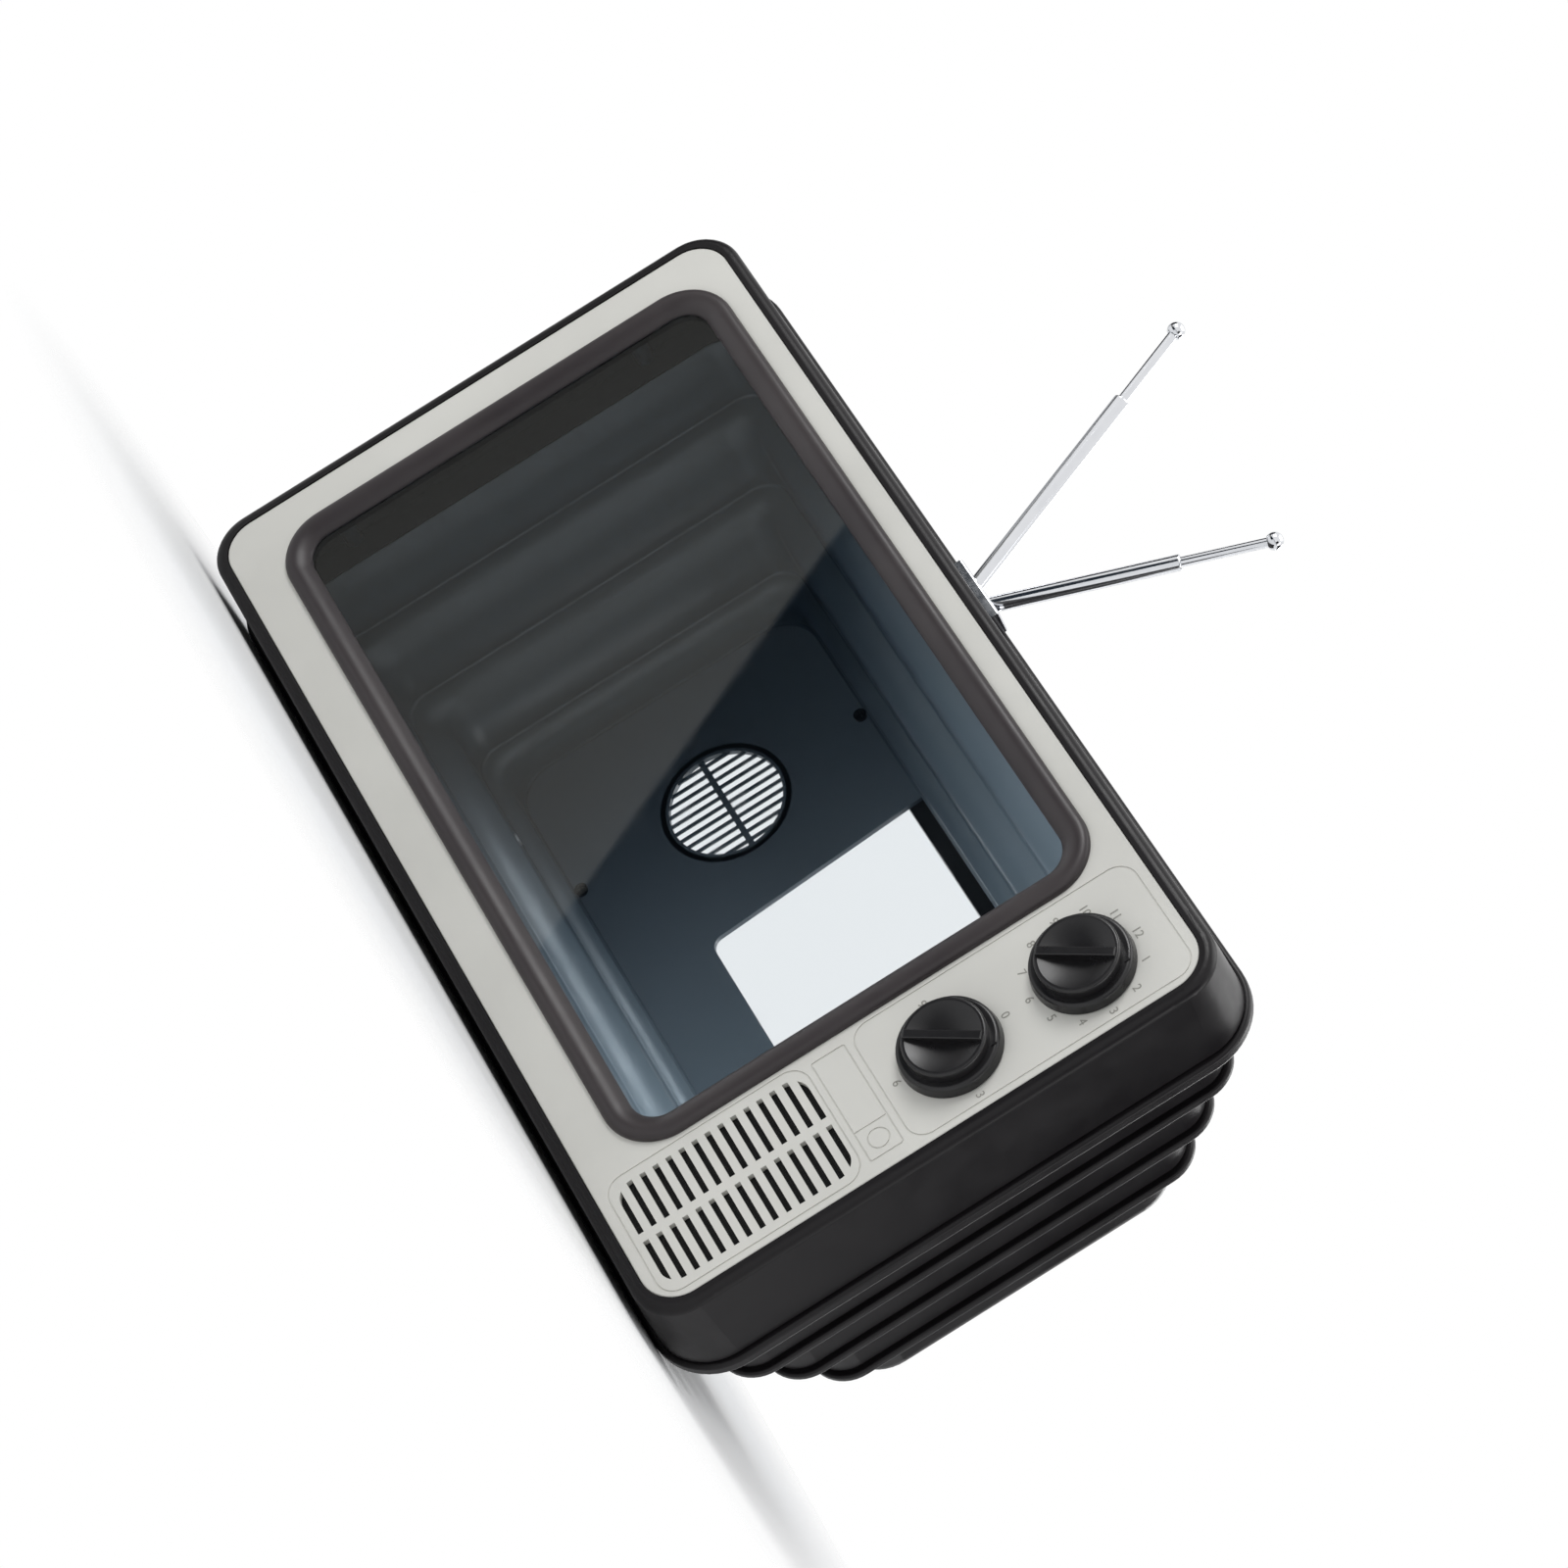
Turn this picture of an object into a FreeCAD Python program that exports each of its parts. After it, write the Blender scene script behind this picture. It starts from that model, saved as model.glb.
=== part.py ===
import FreeCAD, Part
import math
import os

# A landscape portable television case: a black front shell with a cream face panel, a bezel
# round a clear window, two control knobs and a slotted grille, a stepped rear shell that
# narrows to a vented back panel, and a pair of telescopic rods on top.
# Millimetres. X runs to the right, Y runs from the front to the back, Z runs up.
# The origin lies in the middle of the case's footprint, on the surface it stands on.

# Overall sizes
faceWidth = 400.0
faceHeight = 222.0
bodyDepth = 186.0
rimReach = 9.5
knobStand = 11.2

# Face panel and front shell
faceThick = 2.5
faceCorner = 14.5
faceGap = 0.15
frameWidth = 5.0
frameCorner = 18.0
frameRound = 3.5
frameProud = 0.4
shellWall = 2.5
shellDraft = 2.0
shellDepth = 37.4
seatWidth = 4.0
seatThick = 2.0

# Window, bezel, pane and what holds them
windowWidth = 307.0
windowHeight = 175.4
windowCorner = 11.0
windowShift = -21.2
windowLift = 4.0
bezelWidth = 10.4
bezelProud = 3.0
bezelSink = 1.4
bezelCrest = 6.0
paneThick = 2.5
paneLap = 4.0
neckWall = 3.0
neckGap = 0.2
gasketThick = 1.5
gasketWidth = 2.8
retainerThick = 1.5
retainerLap = 12.6

# Control column
columnShift = 170.8
columnWidth = 53.0
knobShift = 172.6
columnLine = 0.6
lineDepth = 0.35
upperKnobLift = 73.8
lowerKnobLift = 20.3
badgeTop = -9.6
badgeBottom = -23.4
badgeSplit = 180.6
grilleTop = -27.9
grilleRows = 15
grillePitch = 5.26
grilleSlot = 2.2
grilleWidth = 45.0
grilleBar = 3.5
grilleCorner = 7.0
backingLap = 1.2
backingThick = 1.6

# Knobs
skirtRadius = 19.2
skirtThick = 4.6
skirtRound = 1.6
knobGap = 0.6
capRadius = 15.4
capThick = 4.6
capRound = 1.0
dishDepth = 2.4
gripWidth = 3.4
gripProud = 1.4
gripTurn = 38.0
shaftRadius = 3.0
shaftFit = 0.05
shaftLength = 27.0
bushRadius = 4.5
bushFlange = 8.0
nutRadius = 6.4
nutThick = 2.0
clipRadius = 5.2
clipThick = 0.9

# Rear shell: rim, three trays and the last box
rimLip = 5.8
rimCorner = 26.0
spigotDepth = 5.0
spigotGap = 0.3
firstInset = 14.5
trayInset = 12.0
lastInset = 10.4
trayPitch = 37.8
trayCount = 3
trayCorner = 16.0
lipDepth = 3.8
lipProud = 2.2
grooveWidth = 1.8
grooveDepth = 0.9
lastCorner = 19.0
lastRound = 7.0
rearWall = 2.4

# Back panel with the notch and the two round vents
flangeWidth = 8.0
backThick = 2.4
notchHalfTop = 47.0
notchHalfBottom = 41.0
notchBottom = -32.7
notchCorner = 5.0
ventShift = 95.0
ventLift = 1.7
ventRadius = 25.0
ventRim = 3.0
ventThick = 3.0
ventSlots = 12
ventPitch = 4.2
ventSlot = 1.9
ventBar = 3.0
ventFit = 0.1

# Screws
screwRadius = 1.4
screwHead = 2.7
screwHeadThick = 1.6
screwLength = 10.0
bossRadius = 3.6
bossLength = 18.0

# Rear feet
footRadius = 8.0
footShift = 110.0
footBack = 142.0
padThick = 3.0
padInset = 1.0

# Rods on top
baseWidth = 30.0
baseDepth = 12.0
baseShift = -8.1
baseBack = 31.4
baseRise = 3.6
blockInset = 1.5
blockDrop = 8.0
blockFit = 0.2
barbReach = 1.2
padExtra = 0.8
padMargin = 3.0
rodRadius = 3.1
rodSpread = 4.0
rodLean = 24.0
pivotDrop = 4.0
pinRadius = 1.0
pinFit = 0.05
slotFit = 0.3
leftTube = 95.4
rightTube = 75.8
tubeBore = 1.95
innerRadius = 1.9
innerShown = 34.8
innerHeld = 30.0
tipRadius = 3.4
leanMost = 40.0

# Places worked out from the sizes above
centreHeight = faceHeight / 2 + rimReach
frontPlane = knobStand - (knobStand + bodyDepth) / 2
rimY = shellDepth + 1.0
V = FreeCAD.Vector


def outline(halfWidth, halfHeight, corner, y, cx=0.0, cz=0.0):
    """closed wire of a rounded rectangle in a plane that faces the front"""
    edges = []
    previous = None
    for turn, sx, sz in ((0, 1, 1), (90, -1, 1), (180, -1, -1), (270, 1, -1), (360, 1, 1)):
        middleX = cx + sx * (halfWidth - corner)
        middleZ = cz + sz * (halfHeight - corner)
        points = []
        for angle in (turn, turn + 45, turn + 90):
            across = middleX + corner * math.cos(math.radians(angle))
            up = middleZ + corner * math.sin(math.radians(angle))
            points.append(V(across, frontPlane + y, centreHeight + up))
        if previous:
            edges.append(Part.LineSegment(previous, points[0]).toShape())
        if turn < 360:
            edges.append(Part.Arc(*points).toShape())
        previous = points[2]
    return Part.Wire(edges)


def plate(halfWidth, halfHeight, corner, y0, y1, cx=0.0, cz=0.0):
    """rounded rectangle from depth y0 to depth y1 behind the face"""
    return Part.Face(outline(halfWidth, halfHeight, corner, y0, cx, cz)).extrude(V(0, y1 - y0, 0))


def taper(halfWidth, halfHeight, corner, y0, y1, growth, cx=0.0, cz=0.0, cornerGrowth=0.0):
    """rounded rectangle that grows evenly from depth y0 to depth y1"""
    first = outline(halfWidth, halfHeight, corner, y0, cx, cz)
    last = outline(halfWidth + growth, halfHeight + growth, corner + cornerGrowth, y1, cx, cz)
    return Part.makeLoft([first, last], True, True)


def block(x0, x1, y0, y1, z0, z1):
    """plain box, with its height given from the middle of the face"""
    corner = V(x0, frontPlane + y0, centreHeight + z0)
    return Part.makeBox(x1 - x0, y1 - y0, z1 - z0, corner)


def rod(radius, x, z, y0, y1):
    """cylinder that runs from depth y0 to depth y1"""
    return Part.makeCylinder(radius, y1 - y0, V(x, frontPlane + y0, centreHeight + z), V(0, 1, 0))


def edges_at(shape, y, test=None):
    """edges that lie wholly at one depth"""
    found = []
    for edge in shape.Edges:
        box = edge.BoundBox
        if abs(box.YMin - frontPlane - y) < 0.02 and abs(box.YMax - frontPlane - y) < 0.02:
            if test is None or test(edge):
                found.append(edge)
    return found


def window(offset, y0, y1, cornerExtra=None):
    """rounded rectangle that stands a given offset outside the window's edge"""
    extra = offset if cornerExtra is None else cornerExtra
    halfWidth = windowWidth / 2 + offset
    halfHeight = windowHeight / 2 + offset
    return plate(halfWidth, halfHeight, windowCorner + extra, y0, y1, windowShift, windowLift)


def ring(outerPlate, innerPlate):
    return outerPlate.cut(innerPlate)


def fuse_all(shapes):
    whole = shapes[0]
    if len(shapes) > 1:
        whole = shapes[0].multiFuse(shapes[1:])
    return whole.removeSplitter()


# Screw places

def case_screw_places():
    """round the shelf behind the rim, where the bosses of the front shell end"""
    x = faceWidth / 2 + rimReach - firstInset / 2 - lipProud
    z = faceHeight / 2 + rimReach - firstInset / 2 - lipProud
    places = []
    for side in (-1, 1):
        for share in (-0.3, 0.3):
            places.append((side * x, share * faceHeight))
    for side in (-1, 1):
        for share in (-0.25, 0.25):
            places.append((share * faceWidth, side * z))
    return places


def retainer_screw_places():
    """three along the top and three along the bottom of the window"""
    reach = windowHeight / 2 + retainerLap - bossRadius * 0.6
    places = []
    for side in (-1, 1):
        for share in (-0.4, 0.0, 0.4):
            places.append((windowShift + share * windowWidth, windowLift + side * reach))
    return places


# Front of the case

def front_shell():
    halfWidth = faceWidth / 2 + frameWidth
    halfHeight = faceHeight / 2 + frameWidth
    outside = taper(halfWidth, halfHeight, frameCorner, -frameProud, shellDepth, shellDraft, 0, 0, 4.0)
    outside = outside.makeFillet(frameRound, edges_at(outside, -frameProud))
    hollowWide = halfWidth - shellWall
    hollowHigh = halfHeight - shellWall
    seatBack = faceThick + seatThick
    hollow = taper(hollowWide, hollowHigh, frameCorner - shellWall, seatBack, shellDepth + 1, shellDraft)
    faceHole = plate(faceWidth / 2 + faceGap, faceHeight / 2 + faceGap, faceCorner + faceGap,
                     -frameProud - 1, faceThick)
    seatHole = plate(faceWidth / 2 - seatWidth, faceHeight / 2 - seatWidth, faceCorner - seatWidth,
                     0, seatBack + 1)
    shell = outside.cut(hollow).cut(faceHole).cut(seatHole)
    pad = block(baseShift - baseWidth / 2 - padMargin, baseShift + baseWidth / 2 + padMargin,
                baseBack - baseDepth / 2 - 1.5, shellDepth, padBottom(), padTop())
    pieces = [shell, pad]
    for x, z in case_screw_places():
        pieces.append(boss_to_wall(x, z, shelf_front() - bossLength))
    shell = fuse_all(pieces)
    for x, z in case_screw_places():
        shell = shell.cut(rod(screwRadius, x, z, shelf_front() - bossLength + 1, shelf_front() + 1))
    return shell.cut(antenna_pocket(blockFit))


def shelf_front():
    """inner face of the shelf between the rim and the first tray"""
    return rimY + rimLip - rearWall


def boss_to_wall(x, z, y0):
    """screw boss that ends on the rear shell's shelf, joined to the nearest wall by a rib"""
    post = rod(bossRadius, x, z, y0, shelf_front())
    y1 = rimY - spigotDepth - spigotGap
    halfWidth = faceWidth / 2 + frameWidth - 0.5
    halfHeight = faceHeight / 2 + frameWidth - 0.5
    if abs(x) > faceWidth / 2 - 15:
        side = math.copysign(1, x)
        rib = block(min(x, side * halfWidth), max(x, side * halfWidth), y0, y1, z - 1.5, z + 1.5)
    else:
        side = math.copysign(1, z)
        rib = block(x - 1.5, x + 1.5, y0, y1, min(z, side * halfHeight), max(z, side * halfHeight))
    return post.fuse(rib)


def padTop():
    return faceHeight / 2 + frameWidth + shellDraft


def padBottom():
    return padTop() - shellWall - padExtra


def antenna_pocket(gap):
    """room for the block of the rods' base"""
    halfWidth = baseWidth / 2 - blockInset + gap
    halfDepth = baseDepth / 2 - blockInset + gap
    return block(baseShift - halfWidth, baseShift + halfWidth, baseBack - halfDepth,
                 baseBack + halfDepth, padBottom() - blockDrop, padTop() + 5)


def pad_relief(y0):
    """room in the spigot for the flat pad under the rods' base"""
    halfWidth = baseWidth / 2 + padMargin + spigotGap
    return block(baseShift - halfWidth, baseShift + halfWidth, y0, shellDepth + spigotGap,
                 padBottom() - blockDrop, padTop() + 1)


def grille_slots(y0, y1):
    """two columns of level slots, clipped to a rounded field"""
    fieldHeight = grillePitch * (grilleRows - 1) + grilleSlot
    middle = grilleTop - fieldHeight / 2
    field = plate(grilleWidth / 2, fieldHeight / 2, grilleCorner, y0, y1, columnShift, middle)
    bars = []
    for row in range(grilleRows):
        top = grilleTop - row * grillePitch
        for side in (-1, 1):
            near = columnShift + side * grilleBar / 2
            far = columnShift + side * grilleWidth / 2
            bars.append(block(min(near, far), max(near, far), y0, y1, top - grilleSlot, top))
    return field.common(Part.makeCompound(bars))


def line_frame(halfWidth, halfHeight, corner, cx, cz):
    """shallow groove that frames a field of the face"""
    outer = plate(halfWidth, halfHeight, corner, -1, lineDepth, cx, cz)
    inner = plate(halfWidth - columnLine, halfHeight - columnLine, corner - columnLine, -2, 1, cx, cz)
    return outer.cut(inner)


def face_lines():
    """frames of the dial field, the badge, its small square and the grille"""
    top = faceHeight / 2 - 4
    half = columnWidth / 2
    dialMiddle = (top + badgeTop + 2.4) / 2
    dial = line_frame(half, (top - badgeTop - 2.4) / 2, 8, columnShift, dialMiddle)
    badgeMiddle = (badgeTop + badgeBottom) / 2
    badgeHalf = (badgeTop - badgeBottom) / 2
    badge = line_frame(half - 3, badgeHalf, 1.2, columnShift, badgeMiddle)
    split = block(badgeSplit, badgeSplit + columnLine, -1, lineDepth, badgeBottom, badgeTop)
    squareMiddle = (badgeSplit + columnShift + half - 3) / 2
    circle = rod(4.2, squareMiddle, badgeMiddle, -1, lineDepth).cut(rod(3.6, squareMiddle, badgeMiddle, -2, 1))
    low = -faceHeight / 2 + 4
    grilleMiddle = (badgeBottom - 2.2 + low) / 2
    grille = line_frame(half, (badgeBottom - 2.2 - low) / 2, 8, columnShift, grilleMiddle)
    return [dial, badge, split, circle, grille]


def face_panel():
    panel = plate(faceWidth / 2, faceHeight / 2, faceCorner, 0, faceThick)
    panel = panel.makeFillet(0.6, edges_at(panel, 0))
    cuts = [window(neck_reach() + neckGap, -1, faceThick + 1), grille_slots(-1, faceThick + 1)]
    cuts += face_lines()
    for z in (upperKnobLift, lowerKnobLift):
        cuts.append(rod(bushRadius + 0.1, knobShift, z, -1, faceThick + 1))
    for cutter in cuts:
        panel = panel.cut(cutter)
    posts = []
    for x, z in retainer_screw_places():
        post = rod(bossRadius, x, z, faceThick - 0.5, retainer_front())
        posts.append(post.cut(window(neck_reach() + neckGap, 0, 20)))
    panel = fuse_all([panel] + posts)
    for x, z in retainer_screw_places():
        panel = panel.cut(rod(screwRadius, x, z, 1.0, 20))
    return panel


# Window

def neck_reach():
    return paneLap + neckGap + neckWall


def pane_back():
    return bezelSink + paneThick


def retainer_front():
    return pane_back() + gasketThick


def bezel():
    """raised frame whose inner side slopes down to the pane, with a neck through the face"""
    front = ring(window(bezelWidth, -bezelProud, -0.05), window(0, -bezelProud - 1, 1))
    slopeOuter = outline(windowWidth / 2 + bezelCrest, windowHeight / 2 + bezelCrest,
                         windowCorner + bezelCrest, -bezelProud - 0.01, windowShift, windowLift)
    slopeInner = outline(windowWidth / 2, windowHeight / 2, windowCorner, bezelSink - 0.9,
                         windowShift, windowLift)
    front = front.cut(Part.makeLoft([slopeOuter, slopeInner], True, True))
    front = front.makeFillet(2.4, outer_front_edges(front))
    lip = ring(window(neck_reach(), -0.1, bezelSink), window(0, -1, bezelSink + 1))
    lip = lip.cut(Part.makeLoft([slopeOuter, slopeInner], True, True))
    neck = ring(window(neck_reach(), bezelSink - 0.1, retainer_front()),
                window(paneLap + neckGap, bezelSink - 1, 20))
    return fuse_all([front, lip, neck])


def outer_front_edges(shape):
    """front edges that lie on the outline of the bezel, not on its crest"""
    limit = windowWidth / 2 + bezelCrest + 0.5
    high = windowHeight / 2 + bezelCrest + 0.5

    def outside(edge):
        centre = edge.CenterOfMass
        across = abs(centre.x - windowShift)
        up = abs(centre.z - centreHeight - windowLift)
        return across > limit or up > high or (across + up > limit + high - 16 and across > limit - 14)
    return edges_at(shape, -bezelProud, outside)


def window_pane():
    return window(paneLap, bezelSink, pane_back())


def window_gasket():
    outer = window(paneLap - 0.4, pane_back(), retainer_front())
    return ring(outer, window(paneLap - gasketWidth, 0, 20))


def pane_retainer():
    outer = window(retainerLap, retainer_front(), retainer_front() + retainerThick, bossRadius)
    frame = ring(outer, window(paneLap - gasketWidth, 0, 20))
    for x, z in retainer_screw_places():
        frame = frame.cut(rod(screwRadius + 0.15, x, z, 0, 20))
    return frame


def screw(x, z, headFace, direction, length=screwLength):
    """screw whose head sits on a face and whose shank runs along the depth"""
    start = V(x, frontPlane + headFace, centreHeight + z)
    axis = V(0, direction, 0)
    head = Part.makeCylinder(screwHead, screwHeadThick, start, axis * -1)
    shank = Part.makeCylinder(screwRadius - 0.05, length, start, axis)
    slot = Part.makeBox(0.7, screwHeadThick, 3.4)
    slot.translate(V(-0.35, 0, -1.7))
    bar = slot.copy()
    bar.rotate(V(0, 0, 0), V(0, 1, 0), 90)
    recess = slot.fuse(bar)
    outward = -direction * (screwHeadThick - 0.8)
    recess.translate(start + V(0, outward - (screwHeadThick if direction > 0 else 0), 0))
    return head.fuse(shank).cut(recess)


def retainer_screws():
    face = retainer_front() + retainerThick
    length = face - 1.2
    return Part.makeCompound([screw(x, z, face, -1, length) for x, z in retainer_screw_places()])


def grille_backing():
    """dark cloth board glued behind the slots"""
    fieldHeight = grillePitch * (grilleRows - 1) + grilleSlot
    middle = grilleTop - fieldHeight / 2
    return plate(grilleWidth / 2 + backingLap, fieldHeight / 2 + backingLap, grilleCorner,
                 faceThick, faceThick + backingThick, columnShift, middle)


# Knobs

def turned(profile, x, z):
    """solid of revolution round an axis that points to the front; profile holds (radius, depth)"""
    points = [V(x + radius, frontPlane + y, centreHeight + z) for radius, y in profile]
    face = Part.Face(Part.makePolygon(points + [points[0]]))
    return face.revolve(V(x, frontPlane, centreHeight + z), V(0, 1, 0), 360)


def skirt_front():
    return -knobGap - skirtThick


def cap_front():
    return skirt_front() - capThick


def knob_skirt(z):
    back = -knobGap
    well = back - nutThick
    hub = shaftRadius + 0.02
    profile = [(hub, skirt_front()), (skirtRadius - 0.8, skirt_front()), (skirtRadius, back),
               (skirtRadius - 2.0, back), (skirtRadius - 2.0, well + 0.6), (nutRadius + 1.2, well + 0.6),
               (nutRadius + 1.2, well), (hub, well)]
    skirt = turned(profile, knobShift, z)
    skirt = skirt.makeFillet(skirtRound, round_edges(skirt, skirt_front(), skirtRadius - 1.5))
    pointer = Part.Face(Part.makePolygon([V(-1.3, 0, 16.2), V(1.3, 0, 16.2), V(0, 0, 18.2), V(-1.3, 0, 16.2)]))
    pointer = pointer.extrude(V(0, -0.5, 0))
    pointer.rotate(V(0, 0, 0), V(0, 1, 0), gripTurn)
    pointer.translate(V(knobShift, frontPlane + skirt_front() + 0.1, centreHeight + z))
    return skirt.fuse(pointer)


def round_edges(shape, y, least):
    return edges_at(shape, y, lambda edge: edge.BoundBox.XLength / 2 > least)


def knob_cap(z):
    """disc with a dished front and a straight grip across it"""
    face = cap_front()
    back = skirt_front()
    disc = turned([(0, face), (capRadius, face), (capRadius, back), (0, back)], knobShift, z)
    disc = disc.makeFillet(capRound, edges_at(disc, face))
    reach = capRadius - 1.6
    ballRadius = (reach ** 2 + dishDepth ** 2) / (2 * dishDepth)
    ball = Part.makeSphere(ballRadius, V(knobShift, frontPlane + face + dishDepth - ballRadius,
                                         centreHeight + z))
    dished = disc.cut(ball)
    grip = Part.makeBox(gripWidth, dishDepth + gripProud + 1.2, 2 * capRadius - 2.4)
    grip.translate(V(-gripWidth / 2, -gripProud, -capRadius + 1.2))
    grip = grip.makeFillet(0.5, [edge for edge in grip.Edges if edge.BoundBox.YMax < -gripProud + 0.01])
    grip.rotate(V(0, 0, 0), V(0, 1, 0), gripTurn)
    grip.translate(V(knobShift, frontPlane + face, centreHeight + z))
    socket = rod(shaftRadius + 0.02, knobShift, z, back - 2.0, back + 1)
    return dished.fuse(grip).removeSplitter().cut(socket)


def knob_shaft(z):
    start = skirt_front() - 2.0
    shaft = rod(shaftRadius, knobShift, z, start, start + shaftLength)
    groove = turned([(shaftRadius - 0.6, clip_front()), (shaftRadius + 2, clip_front()),
                     (shaftRadius + 2, clip_front() + clipThick),
                     (shaftRadius - 0.6, clip_front() + clipThick)], knobShift, z)
    return shaft.cut(groove)


def bush_back():
    return faceThick + 9.0


def clip_front():
    return bush_back() + 0.2


def knob_bush(z):
    """threaded sleeve in the face, with a flange behind it"""
    sleeve = rod(bushRadius, knobShift, z, -nutThick, bush_back())
    flange = rod(bushFlange, knobShift, z, faceThick, faceThick + 3.0)
    return sleeve.fuse(flange).removeSplitter().cut(rod(shaftRadius + shaftFit, knobShift, z, -5, 30))


def knob_nut(z):
    corners = []
    for index in range(7):
        turn = math.radians(60 * index)
        across = knobShift + nutRadius * math.cos(turn)
        corners.append(V(across, frontPlane - nutThick, centreHeight + z + nutRadius * math.sin(turn)))
    nut = Part.Face(Part.makePolygon(corners)).extrude(V(0, nutThick, 0))
    return nut.cut(rod(bushRadius, knobShift, z, -5, 5))


def knob_clip(z):
    clip = turned([(shaftRadius - 0.6, clip_front()), (clipRadius, clip_front()),
                   (clipRadius, clip_front() + clipThick),
                   (shaftRadius - 0.6, clip_front() + clipThick)], knobShift, z)
    gap = block(knobShift - 1.4, knobShift + 1.4, clip_front() - 1, clip_front() + 3, z, z + 9)
    return clip.cut(gap)


# Rear shell

def tray_sizes():
    """for each tray: half width and half height of its lip, front depth and back depth"""
    sizes = []
    inset = firstInset
    start = rimY + rimLip
    for index in range(trayCount):
        back = rimY + rimLip + (index + 1) * trayPitch
        sizes.append((rim_half(0) - inset, rim_half(1) - inset, start, back))
        inset += trayInset
        start = back
    return sizes


def rim_half(upright):
    return (faceHeight if upright else faceWidth) / 2 + rimReach


def last_half(upright):
    return rim_half(upright) - firstInset - trayInset * (trayCount - 1) - lastInset


def rear_shell():
    """rim, trays that step inward, and the last box, moulded as one shell"""
    solids = []
    hollows = []
    rim = plate(rim_half(0), rim_half(1), rimCorner, rimY, rimY + rimLip)
    rim = rim.makeFillet(1.6, edges_at(rim, rimY) + edges_at(rim, rimY + rimLip))
    solids.append(rim)
    spigotWide = faceWidth / 2 + frameWidth - shellWall + shellDraft * (1 - spigotDepth / shellDepth)
    spigotHigh = spigotWide - faceWidth / 2 + faceHeight / 2
    spigot = plate(spigotWide - spigotGap, spigotHigh - spigotGap, frameCorner - shellWall + 2,
                   rimY - spigotDepth, rimY + 1)
    solids.append(spigot)
    hollowStart = rimY - spigotDepth - 1
    hollowWide = spigotWide - spigotGap - rearWall
    hollowHigh = spigotHigh - spigotGap - rearWall
    hollows.append(plate(hollowWide, hollowHigh, frameCorner - shellWall, hollowStart, shelf_front()))
    for wide, high, start, back in tray_sizes():
        lip = plate(wide, high, trayCorner, back - lipDepth, back)
        lip = lip.makeFillet(1.2, edges_at(lip, back - lipDepth) + edges_at(lip, back))
        wallWide = wide - lipProud
        wallHigh = high - lipProud
        wall = plate(wallWide, wallHigh, trayCorner - lipProud, start - 0.5, back - 1)
        grooveBack = back - lipDepth
        groove = ring(plate(wallWide + 5, wallHigh + 5, trayCorner, grooveBack - grooveWidth, grooveBack),
                      plate(wallWide - grooveDepth, wallHigh - grooveDepth,
                            trayCorner - lipProud - grooveDepth, grooveBack - 20, grooveBack + 20))
        solids += [wall.cut(groove), lip]
        hollows.append(plate(wallWide - rearWall - grooveDepth, wallHigh - rearWall - grooveDepth,
                             trayCorner - lipProud - rearWall, start - rearWall - 0.5, back - rearWall))
    start = tray_sizes()[-1][3]
    last = plate(last_half(0), last_half(1), lastCorner, start - 0.5, bodyDepth)
    last = last.makeFillet(lastRound, edges_at(last, bodyDepth))
    solids.append(last)
    hollows.append(plate(last_half(0) - rearWall, last_half(1) - rearWall, lastCorner - rearWall,
                         start - rearWall - 0.5, back_front()))
    hollows.append(back_field(flangeWidth, 0, back_front() - 1, bodyDepth + 1))
    shell = fuse_all(solids)
    for hollow in hollows:
        shell = shell.cut(hollow)
    for x, z in case_screw_places():
        shell = shell.cut(rod(bossRadius + spigotGap, x, z, hollowStart, shelf_front()))
        shell = shell.cut(rod(screwRadius + 0.15, x, z, rimY - 1, rimY + rimLip + 1))
    shell = shell.cut(pad_relief(hollowStart))
    for x, z in back_screw_places():
        shell = shell.cut(rod(screwRadius, x, z, back_front() - 1, back_front() + 3.5))
    for side in (-1, 1):
        shell = shell.cut(foot_hole(side))
    return shell


def back_front():
    """depth where the flange round the back panel starts"""
    return bodyDepth - lastRound - 3.0


def back_field(inset, corner, y0, y1):
    halfWidth = last_half(0) - rearWall - inset
    halfHeight = last_half(1) - rearWall - inset
    return plate(halfWidth, halfHeight, lastCorner - rearWall - inset + corner, y0, y1)


def back_screw_places():
    reachX = last_half(0) - rearWall - flangeWidth / 2
    reachZ = last_half(1) - rearWall - flangeWidth / 2
    places = []
    for side in (-1, 1):
        for share in (-0.62, 0.62):
            places.append((share * reachX, side * reachZ))
    return places


def notch(y0, y1):
    """opening that narrows downward and runs out at the top"""
    top = last_half(1)
    corners = [V(-notchHalfBottom, 0, notchBottom), V(notchHalfBottom, 0, notchBottom),
               V(notchHalfTop, 0, top), V(-notchHalfTop, 0, top)]
    for corner in corners:
        corner.y = frontPlane + y0
        corner.z += centreHeight
    shape = Part.Face(Part.makePolygon(corners + [corners[0]])).extrude(V(0, y1 - y0, 0))
    low = [edge for edge in shape.Edges
           if edge.BoundBox.ZMax < centreHeight + notchBottom + 0.01 and edge.BoundBox.XLength < 0.01]
    return shape.makeFillet(notchCorner, low)


def back_panel():
    """plate that lies on the flange from inside, with the notch and two vent holes"""
    front = back_front() - backThick
    inset = 1.2
    panel = back_field(inset, 0.5, front, back_front())
    panel = panel.cut(notch(front - 1, front + 10))
    for side in (-1, 1):
        panel = panel.cut(rod(ventRadius + ventFit, side * ventShift, ventLift, front - 1, front + 10))
    for x, z in back_screw_places():
        panel = panel.cut(rod(screwRadius + 0.15, x, z, front - 1, front + 10))
    return panel


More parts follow.
